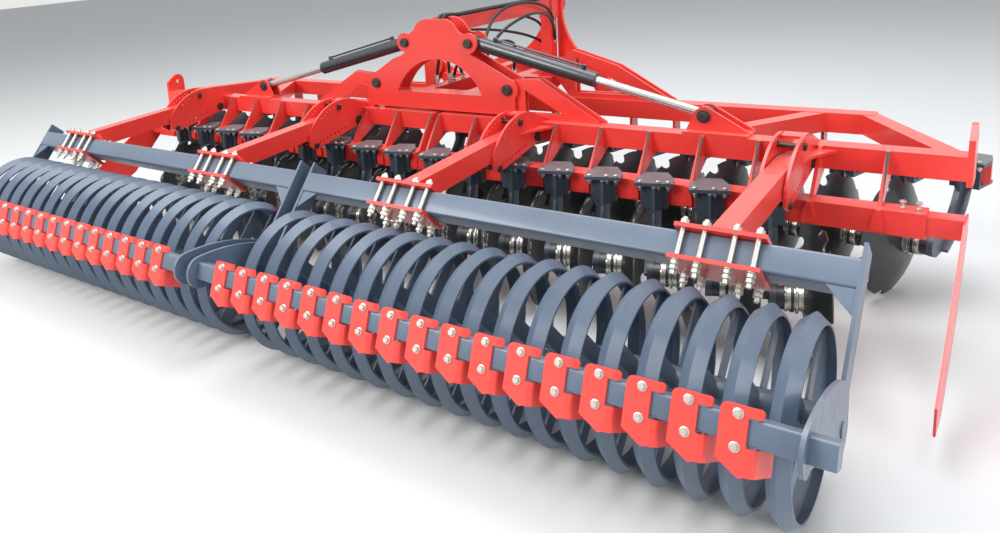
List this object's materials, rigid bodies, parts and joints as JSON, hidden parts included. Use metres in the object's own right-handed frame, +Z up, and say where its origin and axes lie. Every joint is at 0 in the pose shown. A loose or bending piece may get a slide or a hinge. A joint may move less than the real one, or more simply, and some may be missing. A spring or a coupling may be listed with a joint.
{
  "type": "folding disc harrow",
  "caption": "Tractor-mounted disc harrow with two folding wings of notched discs on arms, followed by ring rollers with scrapers.",
  "frame": {"origin": "on the ground, at the middle of the box around the harrow as it stands unfolded", "axes": "+X across the harrow towards the driver's right, +Y the way it is pulled, +Z up"},
  "size_m": [5.1889, 3.4847, 1.3653],
  "materials": {
    "red_paint": "semi-gloss coral red paint",
    "scraper_red": "semi-gloss coral red paint, a little lighter",
    "grey_paint": "semi-gloss slate blue-grey paint",
    "dark_paint": "semi-gloss dark slate paint",
    "disc_steel": "black painted boron steel",
    "black_paint": "gloss black paint",
    "chrome_rod": "hard chrome plated",
    "hose_rubber": "black hose"
  },
  "bodies": {
    "centre": {"tower": "red_paint", "headstock": "red_paint", "hoses": "hose_rubber"},
    "wing_left": {"wing_frame_left": "red_paint", "disc_arms_rear_left": "dark_paint", "disc_arms_front_left": "dark_paint", "side_plate_left": "red_paint"},
    "cylinder_left": {"barrel_left": "black_paint"},
    "piston_rod_left": {"rod_left": "chrome_rod"},
    "packer_left": {"roller_arms_left": "red_paint", "roller_frame_left": "grey_paint", "scrapers_left": "scraper_red"},
    "packer_roller_left": {"roller_left": "grey_paint"},
    "wing_right": {"wing_frame_right": "red_paint", "disc_arms_rear_right": "dark_paint", "disc_arms_front_right": "dark_paint", "side_plate_right": "red_paint"},
    "cylinder_right": {"barrel_right": "black_paint"},
    "piston_rod_right": {"rod_right": "chrome_rod"},
    "packer_right": {"roller_arms_right": "red_paint", "roller_frame_right": "grey_paint", "scrapers_right": "scraper_red"},
    "packer_roller_right": {"roller_right": "grey_paint"},
    "disc_rear_right_1_body": {"disc_rear_right_1": "disc_steel"},
    "disc_rear_right_2_body": {"disc_rear_right_2": "disc_steel"},
    "disc_rear_right_3_body": {"disc_rear_right_3": "disc_steel"},
    "disc_rear_right_4_body": {"disc_rear_right_4": "disc_steel"},
    "disc_rear_right_5_body": {"disc_rear_right_5": "disc_steel"},
    "disc_rear_right_6_body": {"disc_rear_right_6": "disc_steel"},
    "disc_rear_right_7_body": {"disc_rear_right_7": "disc_steel"},
    "disc_rear_right_8_body": {"disc_rear_right_8": "disc_steel"},
    "disc_rear_left_1_body": {"disc_rear_left_1": "disc_steel"},
    "disc_rear_left_2_body": {"disc_rear_left_2": "disc_steel"},
    "disc_rear_left_3_body": {"disc_rear_left_3": "disc_steel"},
    "disc_rear_left_4_body": {"disc_rear_left_4": "disc_steel"},
    "disc_rear_left_5_body": {"disc_rear_left_5": "disc_steel"},
    "disc_rear_left_6_body": {"disc_rear_left_6": "disc_steel"},
    "disc_rear_left_7_body": {"disc_rear_left_7": "disc_steel"},
    "disc_rear_left_8_body": {"disc_rear_left_8": "disc_steel"},
    "disc_rear_left_9_body": {"disc_rear_left_9": "disc_steel"},
    "disc_front_right_1_body": {"disc_front_right_1": "disc_steel"},
    "disc_front_right_2_body": {"disc_front_right_2": "disc_steel"},
    "disc_front_right_3_body": {"disc_front_right_3": "disc_steel"},
    "disc_front_right_4_body": {"disc_front_right_4": "disc_steel"},
    "disc_front_right_5_body": {"disc_front_right_5": "disc_steel"},
    "disc_front_right_6_body": {"disc_front_right_6": "disc_steel"},
    "disc_front_right_7_body": {"disc_front_right_7": "disc_steel"},
    "disc_front_right_8_body": {"disc_front_right_8": "disc_steel"},
    "disc_front_right_9_body": {"disc_front_right_9": "disc_steel"},
    "disc_front_right_10_body": {"disc_front_right_10": "disc_steel"},
    "disc_front_left_1_body": {"disc_front_left_1": "disc_steel"},
    "disc_front_left_2_body": {"disc_front_left_2": "disc_steel"},
    "disc_front_left_3_body": {"disc_front_left_3": "disc_steel"},
    "disc_front_left_4_body": {"disc_front_left_4": "disc_steel"},
    "disc_front_left_5_body": {"disc_front_left_5": "disc_steel"},
    "disc_front_left_6_body": {"disc_front_left_6": "disc_steel"},
    "disc_front_left_7_body": {"disc_front_left_7": "disc_steel"},
    "disc_front_left_8_body": {"disc_front_left_8": "disc_steel"},
    "disc_front_left_9_body": {"disc_front_left_9": "disc_steel"}
  },
  "joints": [
    {"name": "wing_left_fold", "type": "hinge", "parent": "centre", "child": "wing_left", "pos_m": [-0.464, 0.233, 0.954], "axis": [0, 1, 0], "range_deg": [0, 90]},
    {"name": "cylinder_left_swing", "type": "hinge", "parent": "centre", "child": "cylinder_left", "pos_m": [-0.223, 0.233, 1.207], "axis": [0, 1, 0], "range_deg": [0, 83]},
    {"name": "rod_left_slide", "type": "slide", "parent": "cylinder_left", "child": "piston_rod_left", "axis": [-0.9691, 0, -0.2468], "range_m": [-0.48, 0]},
    {"name": "packer_left_depth", "type": "hinge", "parent": "wing_left", "child": "packer_left", "pos_m": [-1.2875, 0.088, 0.732], "axis": [1, 0, 0], "range_deg": [-5, 3]},
    {"name": "roller_left_spin", "type": "hinge", "parent": "packer_left", "child": "packer_roller_left", "pos_m": [-1.2, -1.257, 0.32], "axis": [1, 0, 0], "continuous": true},
    {"name": "wing_right_fold", "type": "hinge", "parent": "centre", "child": "wing_right", "pos_m": [0.464, 0.233, 0.954], "axis": [0, -1, 0], "range_deg": [0, 90]},
    {"name": "cylinder_right_swing", "type": "hinge", "parent": "centre", "child": "cylinder_right", "pos_m": [0.223, 0.233, 1.207], "axis": [0, -1, 0], "range_deg": [0, 83]},
    {"name": "rod_right_slide", "type": "slide", "parent": "cylinder_right", "child": "piston_rod_right", "axis": [0.9691, 0, -0.2468], "range_m": [-0.48, 0]},
    {"name": "packer_right_depth", "type": "hinge", "parent": "wing_right", "child": "packer_right", "pos_m": [1.2875, 0.088, 0.732], "axis": [1, 0, 0], "range_deg": [-5, 3]},
    {"name": "roller_right_spin", "type": "hinge", "parent": "packer_right", "child": "packer_roller_right", "pos_m": [1.2, -1.257, 0.32], "axis": [1, 0, 0], "continuous": true},
    {"name": "disc_rear_right_1_spin", "type": "hinge", "parent": "wing_right", "child": "disc_rear_right_1_body", "pos_m": [0.32121, -0.32202, 0.28], "axis": [0.9563, 0.2924, 0], "continuous": true},
    {"name": "disc_rear_right_2_spin", "type": "hinge", "parent": "wing_right", "child": "disc_rear_right_2_body", "pos_m": [0.57121, -0.32202, 0.28], "axis": [0.9563, 0.2924, 0], "continuous": true},
    {"name": "disc_rear_right_3_spin", "type": "hinge", "parent": "wing_right", "child": "disc_rear_right_3_body", "pos_m": [0.82121, -0.32202, 0.28], "axis": [0.9563, 0.2924, 0], "continuous": true},
    {"name": "disc_rear_right_4_spin", "type": "hinge", "parent": "wing_right", "child": "disc_rear_right_4_body", "pos_m": [1.07121, -0.32202, 0.28], "axis": [0.9563, 0.2924, 0], "continuous": true},
    {"name": "disc_rear_right_5_spin", "type": "hinge", "parent": "wing_right", "child": "disc_rear_right_5_body", "pos_m": [1.32121, -0.32202, 0.28], "axis": [0.9563, 0.2924, 0], "continuous": true},
    {"name": "disc_rear_right_6_spin", "type": "hinge", "parent": "wing_right", "child": "disc_rear_right_6_body", "pos_m": [1.57121, -0.32202, 0.28], "axis": [0.9563, 0.2924, 0], "continuous": true},
    {"name": "disc_rear_right_7_spin", "type": "hinge", "parent": "wing_right", "child": "disc_rear_right_7_body", "pos_m": [1.82121, -0.32202, 0.28], "axis": [0.9563, 0.2924, 0], "continuous": true},
    {"name": "disc_rear_right_8_spin", "type": "hinge", "parent": "wing_right", "child": "disc_rear_right_8_body", "pos_m": [2.07121, -0.32202, 0.28], "axis": [0.9563, 0.2924, 0], "continuous": true},
    {"name": "disc_rear_left_1_spin", "type": "hinge", "parent": "wing_left", "child": "disc_rear_left_1_body", "pos_m": [0.07121, -0.32202, 0.28], "axis": [0.9563, 0.2924, 0], "continuous": true},
    {"name": "disc_rear_left_2_spin", "type": "hinge", "parent": "wing_left", "child": "disc_rear_left_2_body", "pos_m": [-0.17879, -0.32202, 0.28], "axis": [0.9563, 0.2924, 0], "continuous": true},
    {"name": "disc_rear_left_3_spin", "type": "hinge", "parent": "wing_left", "child": "disc_rear_left_3_body", "pos_m": [-0.42879, -0.32202, 0.28], "axis": [0.9563, 0.2924, 0], "continuous": true},
    {"name": "disc_rear_left_4_spin", "type": "hinge", "parent": "wing_left", "child": "disc_rear_left_4_body", "pos_m": [-0.67879, -0.32202, 0.28], "axis": [0.9563, 0.2924, 0], "continuous": true},
    {"name": "disc_rear_left_5_spin", "type": "hinge", "parent": "wing_left", "child": "disc_rear_left_5_body", "pos_m": [-0.92879, -0.32202, 0.28], "axis": [0.9563, 0.2924, 0], "continuous": true},
    {"name": "disc_rear_left_6_spin", "type": "hinge", "parent": "wing_left", "child": "disc_rear_left_6_body", "pos_m": [-1.17879, -0.32202, 0.28], "axis": [0.9563, 0.2924, 0], "continuous": true},
    {"name": "disc_rear_left_7_spin", "type": "hinge", "parent": "wing_left", "child": "disc_rear_left_7_body", "pos_m": [-1.42879, -0.32202, 0.28], "axis": [0.9563, 0.2924, 0], "continuous": true},
    {"name": "disc_rear_left_8_spin", "type": "hinge", "parent": "wing_left", "child": "disc_rear_left_8_body", "pos_m": [-1.67879, -0.32202, 0.28], "axis": [0.9563, 0.2924, 0], "continuous": true},
    {"name": "disc_rear_left_9_spin", "type": "hinge", "parent": "wing_left", "child": "disc_rear_left_9_body", "pos_m": [-1.92879, -0.32202, 0.28], "axis": [0.9563, 0.2924, 0], "continuous": true},
    {"name": "disc_front_right_1_spin", "type": "hinge", "parent": "wing_right", "child": "disc_front_right_1_body", "pos_m": [0.06879, 0.53798, 0.28], "axis": [-0.9563, 0.2924, 0], "continuous": true},
    {"name": "disc_front_right_2_spin", "type": "hinge", "parent": "wing_right", "child": "disc_front_right_2_body", "pos_m": [0.31879, 0.53798, 0.28], "axis": [-0.9563, 0.2924, 0], "continuous": true},
    {"name": "disc_front_right_3_spin", "type": "hinge", "parent": "wing_right", "child": "disc_front_right_3_body", "pos_m": [0.56879, 0.53798, 0.28], "axis": [-0.9563, 0.2924, 0], "continuous": true},
    {"name": "disc_front_right_4_spin", "type": "hinge", "parent": "wing_right", "child": "disc_front_right_4_body", "pos_m": [0.81879, 0.53798, 0.28], "axis": [-0.9563, 0.2924, 0], "continuous": true},
    {"name": "disc_front_right_5_spin", "type": "hinge", "parent": "wing_right", "child": "disc_front_right_5_body", "pos_m": [1.06879, 0.53798, 0.28], "axis": [-0.9563, 0.2924, 0], "continuous": true},
    {"name": "disc_front_right_6_spin", "type": "hinge", "parent": "wing_right", "child": "disc_front_right_6_body", "pos_m": [1.31879, 0.53798, 0.28], "axis": [-0.9563, 0.2924, 0], "continuous": true},
    {"name": "disc_front_right_7_spin", "type": "hinge", "parent": "wing_right", "child": "disc_front_right_7_body", "pos_m": [1.56879, 0.53798, 0.28], "axis": [-0.9563, 0.2924, 0], "continuous": true},
    {"name": "disc_front_right_8_spin", "type": "hinge", "parent": "wing_right", "child": "disc_front_right_8_body", "pos_m": [1.81879, 0.53798, 0.28], "axis": [-0.9563, 0.2924, 0], "continuous": true},
    {"name": "disc_front_right_9_spin", "type": "hinge", "parent": "wing_right", "child": "disc_front_right_9_body", "pos_m": [2.06879, 0.53798, 0.28], "axis": [-0.9563, 0.2924, 0], "continuous": true},
    {"name": "disc_front_right_10_spin", "type": "hinge", "parent": "wing_right", "child": "disc_front_right_10_body", "pos_m": [2.31879, 0.53798, 0.28], "axis": [-0.9563, 0.2924, 0], "continuous": true},
    {"name": "disc_front_left_1_spin", "type": "hinge", "parent": "wing_left", "child": "disc_front_left_1_body", "pos_m": [-0.43121, 0.53798, 0.28], "axis": [-0.9563, 0.2924, 0], "continuous": true},
    {"name": "disc_front_left_2_spin", "type": "hinge", "parent": "wing_left", "child": "disc_front_left_2_body", "pos_m": [-0.68121, 0.53798, 0.28], "axis": [-0.9563, 0.2924, 0], "continuous": true},
    {"name": "disc_front_left_3_spin", "type": "hinge", "parent": "wing_left", "child": "disc_front_left_3_body", "pos_m": [-0.93121, 0.53798, 0.28], "axis": [-0.9563, 0.2924, 0], "continuous": true},
    {"name": "disc_front_left_4_spin", "type": "hinge", "parent": "wing_left", "child": "disc_front_left_4_body", "pos_m": [-1.18121, 0.53798, 0.28], "axis": [-0.9563, 0.2924, 0], "continuous": true},
    {"name": "disc_front_left_5_spin", "type": "hinge", "parent": "wing_left", "child": "disc_front_left_5_body", "pos_m": [-1.43121, 0.53798, 0.28], "axis": [-0.9563, 0.2924, 0], "continuous": true},
    {"name": "disc_front_left_6_spin", "type": "hinge", "parent": "wing_left", "child": "disc_front_left_6_body", "pos_m": [-1.68121, 0.53798, 0.28], "axis": [-0.9563, 0.2924, 0], "continuous": true},
    {"name": "disc_front_left_7_spin", "type": "hinge", "parent": "wing_left", "child": "disc_front_left_7_body", "pos_m": [-1.93121, 0.53798, 0.28], "axis": [-0.9563, 0.2924, 0], "continuous": true},
    {"name": "disc_front_left_8_spin", "type": "hinge", "parent": "wing_left", "child": "disc_front_left_8_body", "pos_m": [-2.18121, 0.53798, 0.28], "axis": [-0.9563, 0.2924, 0], "continuous": true},
    {"name": "disc_front_left_9_spin", "type": "hinge", "parent": "wing_left", "child": "disc_front_left_9_body", "pos_m": [-2.43121, 0.53798, 0.28], "axis": [-0.9563, 0.2924, 0], "continuous": true}
  ],
  "couplings": [
    {"joint": "cylinder_left_swing", "follows": "wing_left_fold", "ratio": 0.918},
    {"joint": "rod_left_slide", "follows": "wing_left_fold", "m_per_rad": -0.302},
    {"joint": "cylinder_right_swing", "follows": "wing_right_fold", "ratio": 0.918},
    {"joint": "rod_right_slide", "follows": "wing_right_fold", "m_per_rad": -0.302}
  ]
}
